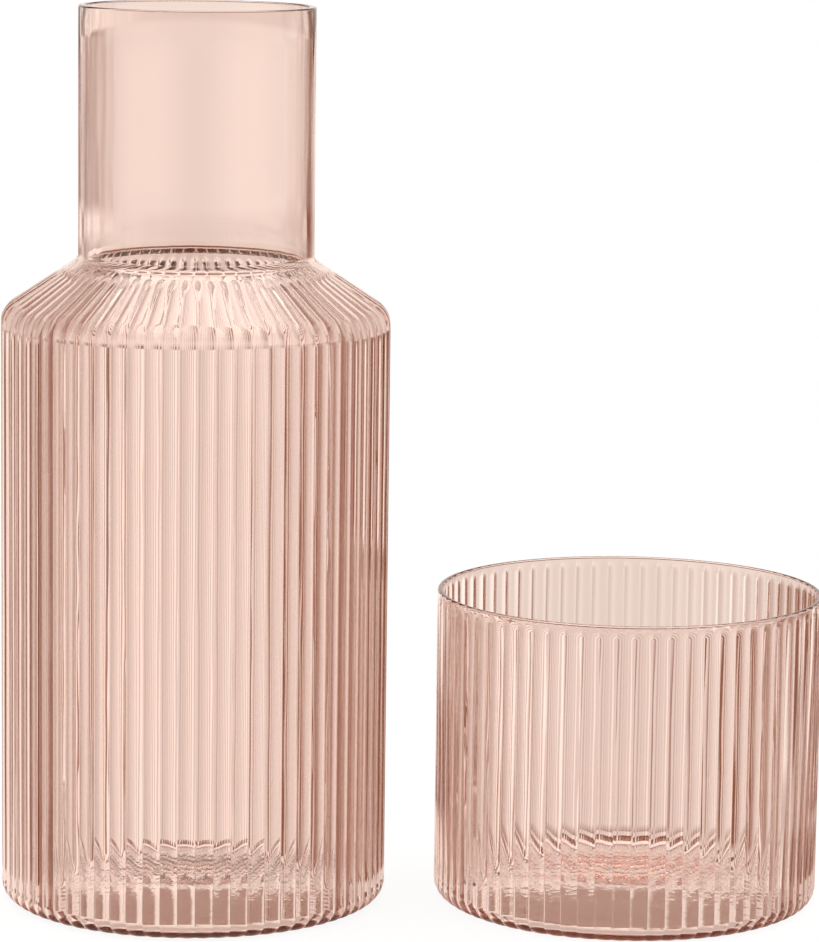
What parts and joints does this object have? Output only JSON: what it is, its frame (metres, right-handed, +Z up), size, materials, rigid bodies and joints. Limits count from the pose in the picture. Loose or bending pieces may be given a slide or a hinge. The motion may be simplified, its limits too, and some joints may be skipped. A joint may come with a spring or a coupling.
{
  "type": "bedside carafe with tumbler",
  "caption": "Tall reeded glass bedside carafe with a plain straight neck, and a matching wide reeded tumbler that turns over to cap it.",
  "frame": {"origin": "centre of the carafe's foot, on the table plane", "axes": "+Z up along the carafe's axis, +X from the carafe towards the tumbler beside it, +Y to the back"},
  "size_m": [0.2024, 0.0978, 0.22],
  "materials": {
    "rose_glass": "mould-blown clear glass with a pale rose tint, polished edges"
  },
  "bodies": {
    "carafe": {"carafe": "rose_glass"},
    "tumbler": {"tumbler": "rose_glass"}
  },
  "joints": [
    {"name": "tumbler_lift", "type": "slide", "parent": "carafe", "child": "tumbler", "axis": [0, 0, 1], "range_m": [0, 0.24]}
  ]
}
